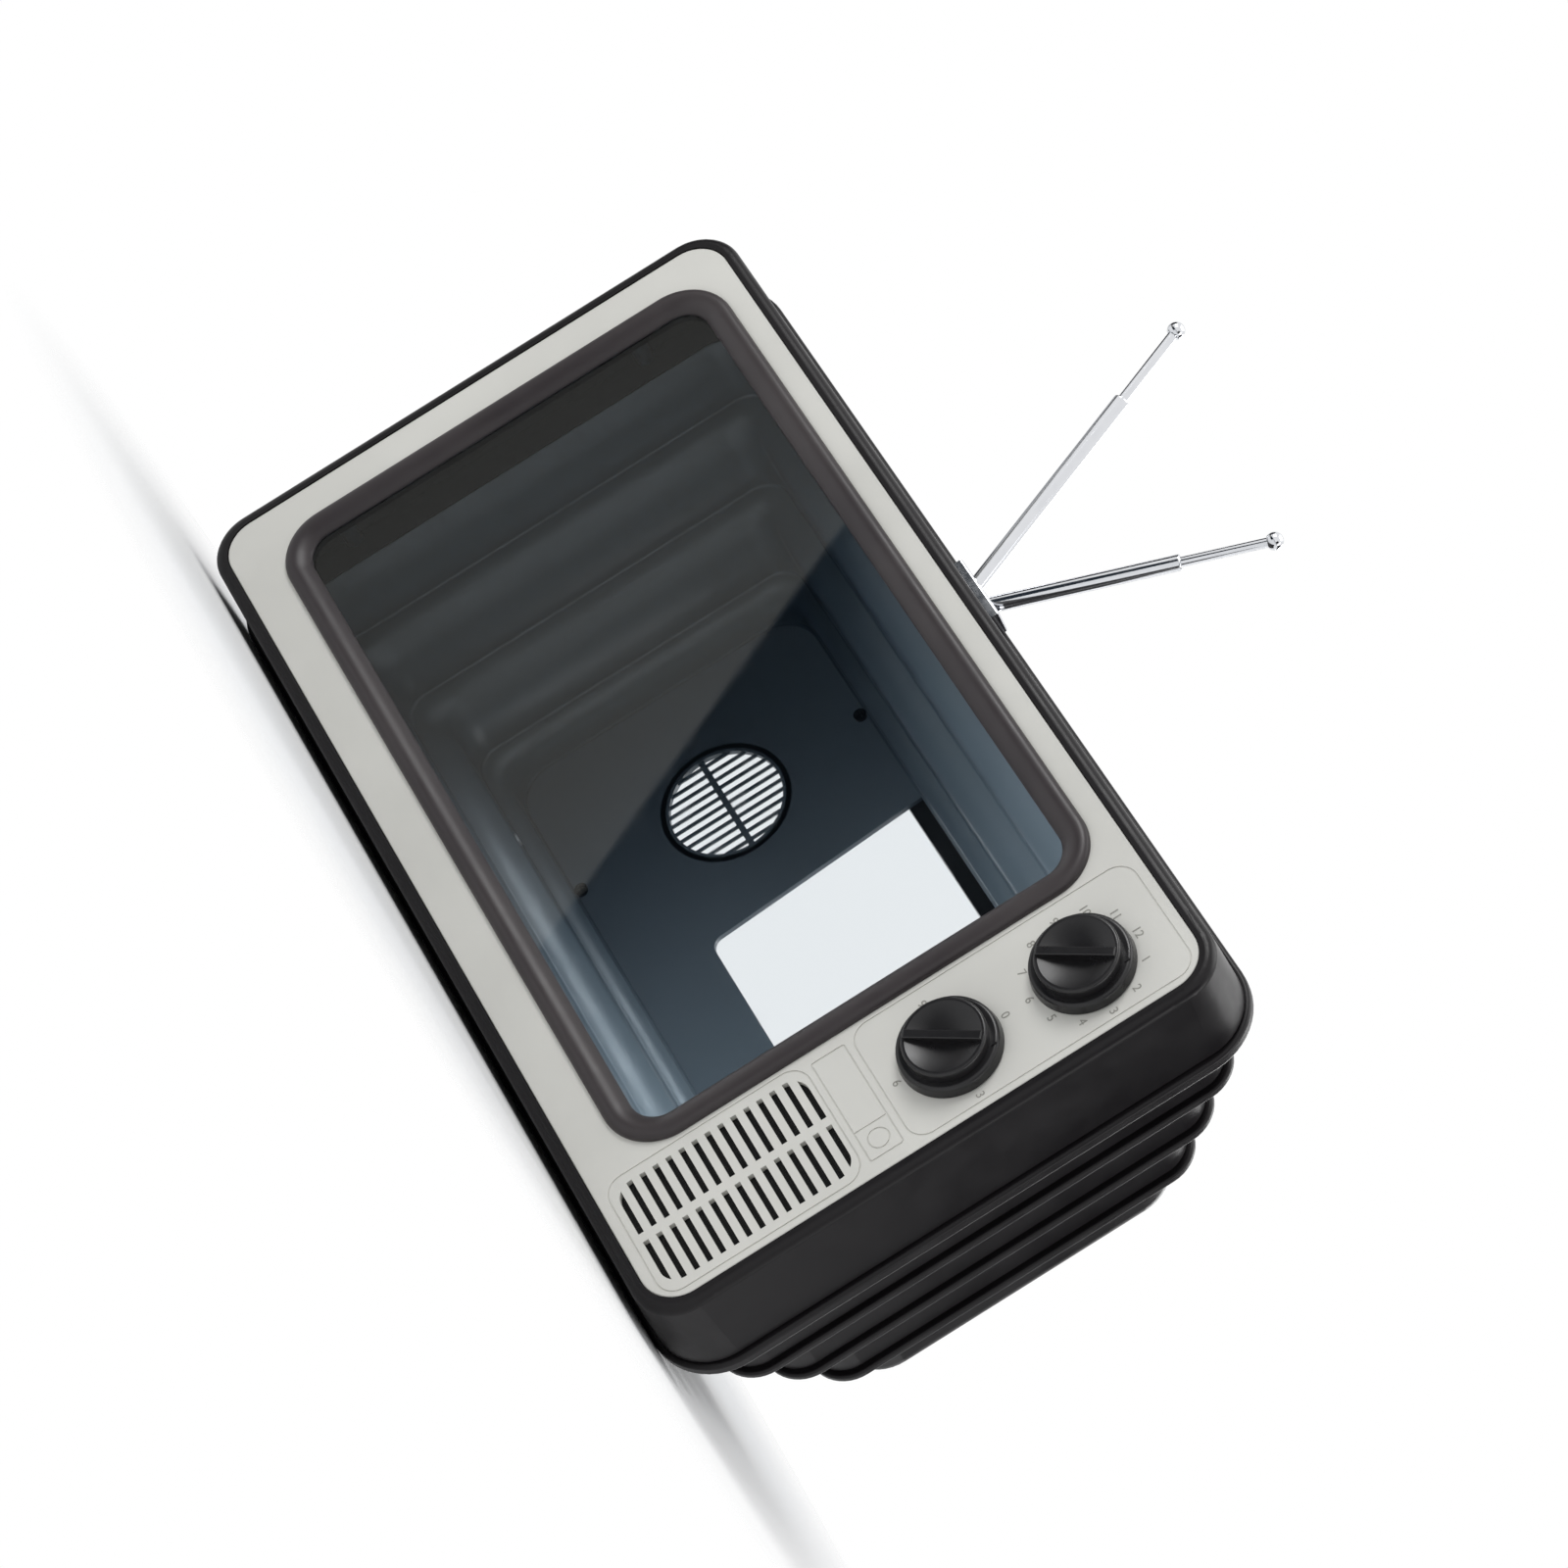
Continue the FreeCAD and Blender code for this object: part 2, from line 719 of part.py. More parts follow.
def vent(side):
    """round insert with upright slots and one level bar"""
    x = side * ventShift
    front = back_front() - backThick
    disc = rod(ventRadius, x, ventLift, front, front + ventThick)
    collar = rod(ventRadius + ventRim, x, ventLift, back_front(), front + ventThick + 1.0)
    insert = disc.fuse(collar).removeSplitter()
    field = rod(ventRadius - 0.6, x, ventLift, front - 1, front + 20)
    slots = []
    first = x - ventPitch * (ventSlots - 1) / 2
    for index in range(ventSlots):
        middle = first + index * ventPitch
        for up in (-1, 1):
            near = ventLift + up * ventBar / 2
            far = ventLift + up * ventRadius
            slots.append(block(middle - ventSlot / 2, middle + ventSlot / 2, front - 1, front + 20,
                               min(near, far), max(near, far)))
    return insert.cut(field.common(Part.makeCompound(slots)))


def case_screws():
    face = rimY + rimLip
    return Part.makeCompound([screw(x, z, face, -1, face - shellDepth + 9) for x, z in case_screw_places()])


def back_screws():
    face = back_front() - backThick
    return Part.makeCompound([screw(x, z, face, 1, backThick + 3.2) for x, z in back_screw_places()])


# Rear feet

def foot_top():
    """height of the wall that the rear feet stand under"""
    wide, high, start, back = tray_sizes()[-1]
    return centreHeight - high + lipProud


def foot_hole(side):
    return Part.makeCylinder(screwRadius + 0.15, 20, V(side * footShift, frontPlane + footBack, foot_top() - 5))


def rear_foot(side):
    """post under the last tray that carries the back of the case level with the rim"""
    base = V(side * footShift, frontPlane + footBack, padThick)
    height = foot_top() - padThick
    post = Part.makeCone(footRadius, footRadius + 2, height, base)
    return post.cut(Part.makeCylinder(screwRadius, 12, base + V(0, 0, height - 11)))


def rear_feet():
    return Part.makeCompound([rear_foot(side) for side in (-1, 1)])


def foot_pads():
    pads = []
    for side in (-1, 1):
        base = V(side * footShift, frontPlane + footBack, 0)
        pads.append(Part.makeCylinder(footRadius - padInset, padThick, base))
    return Part.makeCompound(pads)


def foot_screws():
    screws = []
    for side in (-1, 1):
        face = foot_top() + rearWall + grooveDepth
        start = V(side * footShift, frontPlane + footBack, face)
        head = Part.makeCylinder(screwHead, screwHeadThick, start)
        shank = Part.makeCylinder(screwRadius - 0.05, 12.0, start, V(0, 0, -1))
        screws.append(head.fuse(shank))
    return Part.makeCompound(screws)


# Rods on top

def base_top():
    return padTop() + baseRise


def pivot(side):
    """point that a rod turns about"""
    return V(baseShift + side * rodSpread, frontPlane + baseBack, centreHeight + base_top() - pivotDrop)


def antenna_base():
    """plate on the case with a block under it that holds the pivots and snaps behind the wall"""
    x0 = baseShift - baseWidth / 2
    x1 = baseShift + baseWidth / 2
    y0 = baseBack - baseDepth / 2
    y1 = baseBack + baseDepth / 2
    top = block(x0, x1, y0, y1, padTop(), base_top())
    top = top.makeFillet(1.0, [edge for edge in top.Edges if edge.BoundBox.ZMin > centreHeight + padTop() + 1])
    low = padBottom() - blockDrop + 3
    body = block(x0 + blockInset, x1 - blockInset, y0 + blockInset, y1 - blockInset, low, padTop() + 0.5)
    pieces = [top, body]
    for side in (-1, 1):
        edge = baseShift + side * (baseWidth / 2 - blockInset)
        tip = edge + side * barbReach
        corners = [V(edge - side, 0, padBottom()), V(tip, 0, padBottom()), V(edge - side, 0, padBottom() - 3)]
        for corner in corners:
            corner.y = frontPlane + y0 + blockInset + 1
            corner.z += centreHeight
        wedge = Part.Face(Part.makePolygon(corners + [corners[0]]))
        pieces.append(wedge.extrude(V(0, y1 - y0 - 2 * blockInset - 2, 0)))
    whole = fuse_all(pieces)
    reach = rodSpread + pivotDrop * math.tan(math.radians(leanMost)) + rodRadius / math.cos(math.radians(leanMost))
    halfSlot = rodRadius + slotFit
    slot = block(baseShift - reach - 0.6, baseShift + reach + 0.6, baseBack - halfSlot, baseBack + halfSlot,
                 base_top() - pivotDrop - rodRadius - 0.4, base_top() + 5)
    whole = whole.cut(slot)
    for side in (-1, 1):
        whole = whole.cut(pivot_pin(side, pinRadius))
    return whole


def pivot_pin(side, radius):
    length = baseDepth - 2 * blockInset
    return Part.makeCylinder(radius, length, pivot(side) - V(0, length / 2, 0), V(0, 1, 0))


def antenna_pins():
    return Part.makeCompound([pivot_pin(side, pinRadius) for side in (-1, 1)])


def leaning(shape, side):
    """takes a piece drawn upright on the pivot and leans it outward"""
    shape.translate(pivot(side))
    shape.rotate(pivot(side), V(0, 1, 0), side * rodLean)
    return shape


def outer_tube(side, length):
    tube = Part.makeCylinder(rodRadius, length, V(0, 0, 0))
    tube = tube.makeFillet(0.6, [edge for edge in tube.Edges if edge.BoundBox.ZMin > length - 0.01])
    tube = tube.fuse(Part.makeSphere(rodRadius, V(0, 0, 0))).removeSplitter()
    bore = Part.makeCylinder(tubeBore, length, V(0, 0, 9))
    hole = Part.makeCylinder(pinRadius + pinFit, 20, V(0, -10, 0), V(0, 1, 0))
    return leaning(tube.cut(bore).cut(hole), side)


def inner_tube(side, length):
    start = length - innerHeld
    tube = Part.makeCylinder(innerRadius, innerHeld + innerShown - tipRadius * 0.7, V(0, 0, start))
    socket = Part.makeCylinder(1.0, 6.0, V(0, 0, length + innerShown - tipRadius * 0.7 - 6.0))
    return leaning(tube.cut(socket), side)


def rod_tip(side, length):
    """ball with a spigot that is pressed into the inner tube"""
    top = length + innerShown
    ball = Part.makeSphere(tipRadius, V(0, 0, top))
    flat = Part.makeBox(20, 20, 10, V(-10, -10, top - tipRadius * 0.7 - 10))
    spigot = Part.makeCylinder(1.0, 7.0, V(0, 0, top - tipRadius * 0.7 - 5.5))
    return leaning(ball.cut(flat).fuse(spigot).removeSplitter(), side)


def write(node, shape):
    shape.exportStep(os.path.join("parts", node + ".step"))
    print(node, len(shape.Solids), round(shape.Volume, 1), shape.isValid())


def main():
    os.makedirs("parts", exist_ok=True)
    write("front_shell", front_shell())
    write("face_panel", face_panel())
    write("bezel", bezel())
    write("window_pane", window_pane())
    write("window_gasket", window_gasket())
    write("pane_retainer", pane_retainer())
    write("retainer_screws", retainer_screws())
    write("grille_backing", grille_backing())
    write("rear_shell", rear_shell())
    write("back_panel", back_panel())
    write("vent_left", vent(-1))
    write("vent_right", vent(1))
    write("case_screws", case_screws())
    write("back_screws", back_screws())
    write("rear_feet", rear_feet())
    write("foot_pads", foot_pads())
    write("foot_screws", foot_screws())
    for name, lift in (("upper", upperKnobLift), ("lower", lowerKnobLift)):
        write(name + "_knob_skirt", knob_skirt(lift))
        write(name + "_knob_cap", knob_cap(lift))
        write(name + "_knob_shaft", knob_shaft(lift))
        write(name + "_knob_bush", knob_bush(lift))
        write(name + "_knob_nut", knob_nut(lift))
        write(name + "_knob_clip", knob_clip(lift))
    write("antenna_base", antenna_base())
    write("antenna_pins", antenna_pins())
    for name, side, length in (("left", -1, leftTube), ("right", 1, rightTube)):
        write(name + "_outer_tube", outer_tube(side, length))
        write(name + "_inner_tube", inner_tube(side, length))
        write(name + "_rod_tip", rod_tip(side, length))


main()
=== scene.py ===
import bpy
import math
import numpy as np
from mathutils import Matrix, Vector


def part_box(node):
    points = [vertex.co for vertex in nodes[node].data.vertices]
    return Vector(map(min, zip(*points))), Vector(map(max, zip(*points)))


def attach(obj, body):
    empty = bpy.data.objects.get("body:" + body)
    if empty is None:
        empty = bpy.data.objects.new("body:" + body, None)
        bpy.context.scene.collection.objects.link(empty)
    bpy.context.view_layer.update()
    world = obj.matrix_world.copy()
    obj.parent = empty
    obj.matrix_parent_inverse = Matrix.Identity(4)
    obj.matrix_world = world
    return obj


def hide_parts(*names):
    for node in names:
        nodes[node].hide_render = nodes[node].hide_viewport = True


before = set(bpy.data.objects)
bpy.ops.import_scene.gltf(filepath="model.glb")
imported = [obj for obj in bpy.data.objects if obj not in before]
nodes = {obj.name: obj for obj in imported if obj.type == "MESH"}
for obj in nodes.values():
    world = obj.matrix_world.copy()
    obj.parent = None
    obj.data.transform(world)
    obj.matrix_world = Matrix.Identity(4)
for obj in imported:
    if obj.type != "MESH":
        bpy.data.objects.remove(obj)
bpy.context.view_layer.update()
mm = 0.001

# Places read from the frame: the face plane, the middle of the face and the knob axes.
faceLow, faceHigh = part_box("face_panel")
facePlane = faceLow.y
faceMiddle = (faceLow + faceHigh) / 2
paneLow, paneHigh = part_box("window_pane")
paneMiddle = (paneLow + paneHigh) / 2


def addNode(tree, kind, settings=None, links=None):
    node = tree.nodes.new(kind)
    for key, value in (settings or {}).items():
        if key in node.inputs.keys():
            node.inputs[key].default_value = value
        else:
            setattr(node, key, value)
    for key, source in (links or {}).items():
        tree.links.new(source, node.inputs[key])
    return node


def hexColour(text, alpha=1.0):
    # sRGB hex to linear: a straight part near black, then a 2.4 power
    parts = [int(text[i:i + 2], 16) / 255 for i in (1, 3, 5)]
    linear = [p / 12.92 if p <= 0.04045 else ((p + 0.055) / 1.055) ** 2.4 for p in parts]
    return (*linear, alpha)


def newMaterial(name):
    material = bpy.data.materials.new(name)
    material.use_nodes = True
    tree = material.node_tree
    tree.nodes.clear()
    out = addNode(tree, "ShaderNodeOutputMaterial")
    shader = addNode(tree, "ShaderNodeBsdfPrincipled")
    tree.links.new(shader.outputs["BSDF"], out.inputs["Surface"])
    place = addNode(tree, "ShaderNodeTexCoord").outputs["Object"]
    return material, tree, shader, place


def noise(tree, place, sizeMm, detail=3.0):
    # feature size in millimetres turned to the texture's own scale
    return addNode(tree, "ShaderNodeTexNoise", {"Scale": 1000.0 / sizeMm, "Detail": detail},
                   {"Vector": place}).outputs["Fac"]


def ramp(tree, value, lowIn, highIn, lowOut, highOut):
    settings = {"From Min": lowIn, "From Max": highIn, "To Min": lowOut, "To Max": highOut}
    return addNode(tree, "ShaderNodeMapRange", settings, {"Value": value}).outputs["Result"]


def blendColour(tree, factor, first, second):
    mix = addNode(tree, "ShaderNodeMix", {"data_type": "RGBA"})
    mix.inputs[6].default_value = hexColour(first)
    mix.inputs[7].default_value = hexColour(second)
    tree.links.new(factor, mix.inputs[0])
    return mix.outputs[2]


def mouldedPlastic(name, base, worn, roughness, grainMm, grainMicron, ior=1.53, sheen=0.5):
    # injection moulded ABS: an even colour with faint cloudiness, a spark-eroded grain that
    # breaks up the gloss, and smears where hands rub it smoother
    material, tree, shader, place = newMaterial(name)
    cloud = noise(tree, place, 60)
    smear = noise(tree, place, 14, 6)
    grain = noise(tree, place, grainMm, 2)
    tone = ramp(tree, cloud, 0.35, 0.65, 0.0, 1.0)
    tree.links.new(blendColour(tree, tone, base, worn), shader.inputs["Base Color"])
    rough = ramp(tree, smear, 0.3, 0.7, roughness - 0.05, roughness + 0.06)
    tree.links.new(rough, shader.inputs["Roughness"])
    shader.inputs["IOR"].default_value = ior
    shader.inputs["Specular IOR Level"].default_value = sheen
    bump = addNode(tree, "ShaderNodeBump", {"Strength": 0.5, "Distance": grainMicron * 1e-6},
                   {"Height": grain})
    tree.links.new(bump.outputs["Normal"], shader.inputs["Normal"])
    return material


def slatePlastic(name, dark, pale):
    # inner walls of a blue-grey moulded ABS under a fine eroded grain; the colour is graded along the case as
    # painted
    # light: painted shade, dark slate, at the far side to painted light, pale blue-grey, near the knobs
    material, tree, shader, place = newMaterial(name)
    across = addNode(tree, "ShaderNodeSeparateXYZ", None, {"Vector": place}).outputs["X"]
    tone = ramp(tree, across, -0.15, 0.165, 0.0, 1.0)
    curve = addNode(tree, "ShaderNodeMath", {"operation": "POWER"})
    tree.links.new(tone, curve.inputs[0])
    curve.inputs[1].default_value = 1.6
    tree.links.new(blendColour(tree, curve.outputs[0], dark, pale), shader.inputs["Base Color"])
    rough = ramp(tree, noise(tree, place, 18, 5), 0.3, 0.7, 0.3, 0.42)
    tree.links.new(rough, shader.inputs["Roughness"])
    shader.inputs["IOR"].default_value = 1.53
    bump = addNode(tree, "ShaderNodeBump", {"Strength": 0.4, "Distance": 10e-6},
                   {"Height": noise(tree, place, 1.1, 2)})
    tree.links.new(bump.outputs["Normal"], shader.inputs["Normal"])
    return material


innerTone = {"halfWidth": 204.2, "halfHeight": 115.2, "corner": 17.2, "faceDepth": 4.0}


def shellPlastic():
    # black ABS front shell, satin outside, with its inside a dark slate like the walls behind it
    material, tree, shader, place = newMaterial("twoToneBlackAbs")
    # inside is where the distance out from a rounded rectangle at mid wall is less than its corner
    straight = ((innerTone["halfWidth"] - innerTone["corner"]) * mm, 10.0,
                (innerTone["halfHeight"] - innerTone["corner"]) * mm)
    offset = place
    for operation, value in (("SUBTRACT", (0, 0, faceMiddle.z)), ("ABSOLUTE", None),
                             ("SUBTRACT", straight), ("MAXIMUM", (0, 0, 0))):
        step = addNode(tree, "ShaderNodeVectorMath", {"operation": operation})
        tree.links.new(offset, step.inputs[0])
        if value is not None:
            step.inputs[1].default_value = value
        offset = step.outputs[0]
    reach = addNode(tree, "ShaderNodeVectorMath", {"operation": "LENGTH"})
    tree.links.new(offset, reach.inputs[0])
    within = addNode(tree, "ShaderNodeMath", {"operation": "LESS_THAN"})
    tree.links.new(reach.outputs["Value"], within.inputs[0])
    within.inputs[1].default_value = innerTone["corner"] * mm
    axes = addNode(tree, "ShaderNodeSeparateXYZ", None, {"Vector": place})
    behind = addNode(tree, "ShaderNodeMath", {"operation": "GREATER_THAN"})
    tree.links.new(axes.outputs["Y"], behind.inputs[0])
    behind.inputs[1].default_value = facePlane + innerTone["faceDepth"] * mm
    both = addNode(tree, "ShaderNodeMath", {"operation": "MULTIPLY"})
    tree.links.new(within.outputs[0], both.inputs[0])
    tree.links.new(behind.outputs[0], both.inputs[1])
    inside = both.outputs[0]
    tree.links.new(blendColour(tree, inside, "#171517", "#232B32"), shader.inputs["Base Color"])
    shader.inputs["Specular IOR Level"].default_value = 0.22
    rough = ramp(tree, noise(tree, place, 16, 5), 0.3, 0.7, 0.29, 0.40)
    tree.links.new(rough, shader.inputs["Roughness"])
    shader.inputs["IOR"].default_value = 1.53
    bump = addNode(tree, "ShaderNodeBump", {"Strength": 0.4, "Distance": 14e-6},
                   {"Height": noise(tree, place, 0.9, 2)})
    tree.links.new(bump.outputs["Normal"], shader.inputs["Normal"])
    return material


def castAcrylic():
    # cast acrylic sheet: clear with a faint cool tint, glossy, and it lets light into the case
    material, tree, shader, place = newMaterial("castAcrylicSheet")
    shader.inputs["Base Color"].default_value = hexColour("#EEF3F6")
    shader.inputs["Transmission Weight"].default_value = 1.0
    shader.inputs["IOR"].default_value = 1.49
    dust = ramp(tree, noise(tree, place, 9, 6), 0.35, 0.7, 0.0, 0.035)
    tree.links.new(dust, shader.inputs["Roughness"])
    out = [node for node in tree.nodes if node.type == "OUTPUT_MATERIAL"][0]
    path = addNode(tree, "ShaderNodeLightPath")
    clear = addNode(tree, "ShaderNodeBsdfTransparent", {"Color": hexColour("#EAF0F4")})
    either = addNode(tree, "ShaderNodeMath", {"operation": "MAXIMUM"})
    tree.links.new(path.outputs["Is Shadow Ray"], either.inputs[0])
    tree.links.new(path.outputs["Is Diffuse Ray"], either.inputs[1])
    mix = addNode(tree, "ShaderNodeMixShader")
    tree.links.new(either.outputs[0], mix.inputs[0])
    tree.links.new(shader.outputs["BSDF"], mix.inputs[1])
    tree.links.new(clear.outputs["BSDF"], mix.inputs[2])
    tree.links.new(mix.outputs[0], out.inputs["Surface"])
    return material


def platedMetal(name, base, worn, roughness, brushMm):
    # plated metal: bright and smooth, with hairlines from polishing and faint finger haze
    material, tree, shader, place = newMaterial(name)
    shader.inputs["Metallic"].default_value = 1.0
    haze = noise(tree, place, 7, 5)
    tree.links.new(blendColour(tree, haze, base, worn), shader.inputs["Base Color"])
    rough = ramp(tree, haze, 0.3, 0.7, roughness, roughness + 0.09)
    tree.links.new(rough, shader.inputs["Roughness"])
    bump = addNode(tree, "ShaderNodeBump", {"Strength": 0.25, "Distance": 4e-6},
                   {"Height": noise(tree, place, brushMm, 2)})
    tree.links.new(bump.outputs["Normal"], shader.inputs["Normal"])
    return material


def wovenCloth():
    # woven speaker cloth: crossed threads about 0.9 mm apart that scatter light softly
    material, tree, shader, place = newMaterial("wovenSpeakerCloth")
    across = addNode(tree, "ShaderNodeTexWave", {"bands_direction": "X", "Scale": 350.0}, {"Vector": place})
    upward = addNode(tree, "ShaderNodeTexWave", {"bands_direction": "Z", "Scale": 350.0}, {"Vector": place})
    weave = addNode(tree, "ShaderNodeMath", {"operation": "MULTIPLY"})
    tree.links.new(across.outputs["Fac"], weave.inputs[0])
    tree.links.new(upward.outputs["Fac"], weave.inputs[1])
    tree.links.new(blendColour(tree, weave.outputs[0], "#0B0B0C", "#242426"), shader.inputs["Base Color"])
    shader.inputs["Roughness"].default_value = 0.9
    bump = addNode(tree, "ShaderNodeBump", {"Strength": 0.6, "Distance": 2e-4}, {"Height": weave.outputs[0]})
    tree.links.new(bump.outputs["Normal"], shader.inputs["Normal"])
    return material


finishes = {
    "blackAbs": mouldedPlastic("satinBlackAbs", "#171517", "#1C1A1C", 0.34, 0.9, 14, sheen=0.22),
    "shellAbs": shellPlastic(),
    "creamAbs": mouldedPlastic("creamAbs", "#D2D1CB", "#D9D8D2", 0.50, 0.7, 26),
    "bezelAbs": mouldedPlastic("umberBlackAbs", "#353032", "#3F3A3B", 0.36, 0.8, 12, sheen=0.3),
    "knobAbs": mouldedPlastic("knobBlackAbs", "#141315", "#1A191B", 0.30, 0.6, 10, sheen=0.4),
    # the two slate finishes carry painted light: painted shade at the far side of the case, painted light
    # near the knobs
    "linerAbsPaintedLight": slatePlastic("slateGreyAbsPaintedLight", "#26323C", "#E2EEF6"),
    "panelAbsPaintedLight": slatePlastic("slatePanelAbsPaintedLight", "#464E56", "#B8C4CE"),
    "markInk": mouldedPlastic("greyMarkInk", "#8C8B84", "#9C9B94", 0.6, 0.5, 8),
    "rubber": mouldedPlastic("blackSiliconeRubber", "#161617", "#1E1E1F", 0.75, 0.6, 30, 1.45),
    "acrylic": castAcrylic(),
    "chrome": platedMetal("chromePlate", "#E4E5E8", "#D2D4D8", 0.06, 0.8),
    "zinc": platedMetal("zincPlatedSteel", "#B9BABC", "#9D9FA3", 0.28, 0.5),
    "darkZinc": platedMetal("blackZincSteel", "#26272A", "#1C1D1F", 0.35, 0.5),
    "cloth": wovenCloth(),
}
print("finishes ready", len(finishes))

nodeFinish = {"front_shell": "shellAbs", "face_panel": "creamAbs", "bezel": "bezelAbs",
              "window_pane": "acrylic", "window_gasket": "rubber", "pane_retainer": "blackAbs",
              "grille_backing": "cloth", "rear_shell": "blackAbs", "back_panel": "panelAbsPaintedLight",
              "vent_left": "panelAbsPaintedLight", "vent_right": "panelAbsPaintedLight", "rear_feet": "blackAbs",
              "foot_pads": "rubber", "antenna_base": "chrome",
              "back_screws": "darkZinc", "case_screws": "darkZinc", "retainer_screws": "darkZinc"}
for name, piece in nodes.items():
    if name in nodeFinish:
        finish = nodeFinish[name]
    elif name.endswith(("_skirt", "_cap")):
        finish = "knobAbs"
    elif name.endswith(("_tube", "_tip")):
        finish = "chrome"
    else:
        finish = "zinc"
    piece.data.materials.clear()
    piece.data.materials.append(finishes[finish])
print("frame dressed", len(nodes))


def meshPiece(name, points, faces, finish, body="cabinet"):
    mesh = bpy.data.meshes.new(name)
    mesh.from_pydata(points.tolist(), [], faces.tolist())
    mesh.update()
    mesh.polygons.foreach_set("use_smooth", np.ones(len(mesh.polygons), bool))
    mesh.materials.append(finishes[finish])
    piece = bpy.data.objects.new(name, mesh)
    bpy.context.scene.collection.objects.link(piece)
    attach(piece, body)
    return piece


def cornerPath(halfWidth, halfHeight, corner, steps):
    # arc centres and angles round a rounded rectangle, counter-clockwise seen from the front
    angles = np.radians(np.concatenate([np.linspace(90 * k, 90 * k + 90, steps) for k in range(4)]))
    signX = np.repeat([1, -1, -1, 1], steps)
    signZ = np.repeat([1, 1, -1, -1], steps)
    centres = np.stack([signX * (halfWidth - corner), signZ * (halfHeight - corner)], 1)
    return centres, np.stack([np.cos(angles), np.sin(angles)], 1)


def gridFaces(rows, columns, closedRows=True):
    # quads between neighbouring grid points; both ways wrap when the profile is a closed loop
    i, j = np.meshgrid(np.arange(rows), np.arange(columns if closedRows else columns - 1), indexing="ij")
    nextI, nextJ = (i + 1) % rows, (j + 1) % columns
    quads = np.stack([i * columns + j, i * columns + nextJ, nextI * columns + nextJ, nextI * columns + j], -1)
    return quads.reshape(-1, 4)


bezelLook = {"width": 10.4, "crest": 4.0, "cornerSteps": 18, "profileSteps": 22}


def makeBezel():
    # a cubic curve from the face up over the crest and down to the pane, carried round the
    # window's rounded rectangle; a point is arc centre + (corner + offset) * direction
    low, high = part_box("bezel")
    width = bezelLook["width"]
    halfWidth = (high.x - low.x) / 2 / mm - width
    halfHeight = (high.z - low.z) / 2 / mm - width
    t = np.linspace(0, 1, bezelLook["profileSteps"])[:, None]
    handles = np.array([(width, -0.02), (width, -3.9), (bezelLook["crest"], -4.0), (0.0, 0.95)])
    curve = ((1 - t) ** 3 * handles[0] + 3 * (1 - t) ** 2 * t * handles[1]
             + 3 * (1 - t) * t ** 2 * handles[2] + t ** 3 * handles[3])
    back = np.array([(0.0, 1.35), (4.1, 1.35), (4.2, 1.5), (4.2, 5.35), (7.2, 5.35), (7.2, 0.0)])
    profile = np.concatenate([curve, back])
    centres, directions = cornerPath(halfWidth, halfHeight, 11.0, bezelLook["cornerSteps"])
    flat = centres[:, None, :] + (11.0 + profile[None, :, 0:1]) * directions[:, None, :]
    depth = np.broadcast_to(profile[None, :, 1], flat.shape[:2])
    points = np.stack([flat[..., 0] * mm + (low.x + high.x) / 2, depth * mm + facePlane,
                       flat[..., 1] * mm + (low.z + high.z) / 2], -1)
    faces = gridFaces(len(centres), len(profile))
    piece = meshPiece("smoothBezel", points.reshape(-1, 3), faces, "bezelAbs")
    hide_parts("bezel")
    return piece


linerLook = {"gap": 0.35, "thick": 0.4, "cornerSteps": 12, "round": 1.4,
             "steps": [(189.5, 100.5, 42.4, 79.6, 11.4), (177.5, 88.5, 79.6, 117.4, 11.4),
                       (165.5, 76.5, 117.4, 155.2, 11.4), (158.2, 69.2, 155.2, 173.5, 16.6)]}


def makeLiner():
    # a thin skin on the inner walls: for each step a wall that runs back and a shelf that turns
    # in to the next one, as rings of a rounded rectangle joined front to back
    gap, thick = linerLook["gap"], linerLook["thick"]
    rings = []
    for wide, high, front, back, corner in linerLook["steps"]:
        for y in (front - gap if rings else front, back - gap - 1.2, back - gap - 0.3, back - gap):
            inset = gap + (0.0 if y < back - gap - 1 else 0.25 if y < back - gap - 0.1 else 1.0)
            rings.append((wide - inset, high - inset, corner, y))
    rings = np.array(rings)
    inner = rings.copy()
    inner[:, :2] -= thick
    inner[:, 3] -= thick * 0.9
    inner[0, 3] = rings[0, 3]
    loop = np.concatenate([rings, inner[::-1]])
    unit, directions = cornerPath(1.0, 1.0, 0.0, linerLook["cornerSteps"])
    corner = loop[None, :, 2:3]
    centre = unit[:, None, :] * (loop[None, :, :2] - corner)
    flat = centre + corner * directions[:, None, :]
    depth = np.broadcast_to(loop[None, :, 3], flat.shape[:2])
    points = np.stack([flat[..., 0] * mm + faceMiddle.x, depth * mm + facePlane,
                       flat[..., 1] * mm + faceMiddle.z], -1)
    faces = gridFaces(len(unit), len(loop))
    # the liner's colour carries painted light: painted shade at the far side, painted light near the knobs
    return meshPiece("innerLiner", points.reshape(-1, 3), faces, "linerAbsPaintedLight")


ventLook = {"radius": 25.0, "rim": 2.8, "ringThick": 2.6, "slatThick": 0.7, "slatWide": 1.5, "pitch": 4.2,
            "slats": 11, "rib": 2.6}


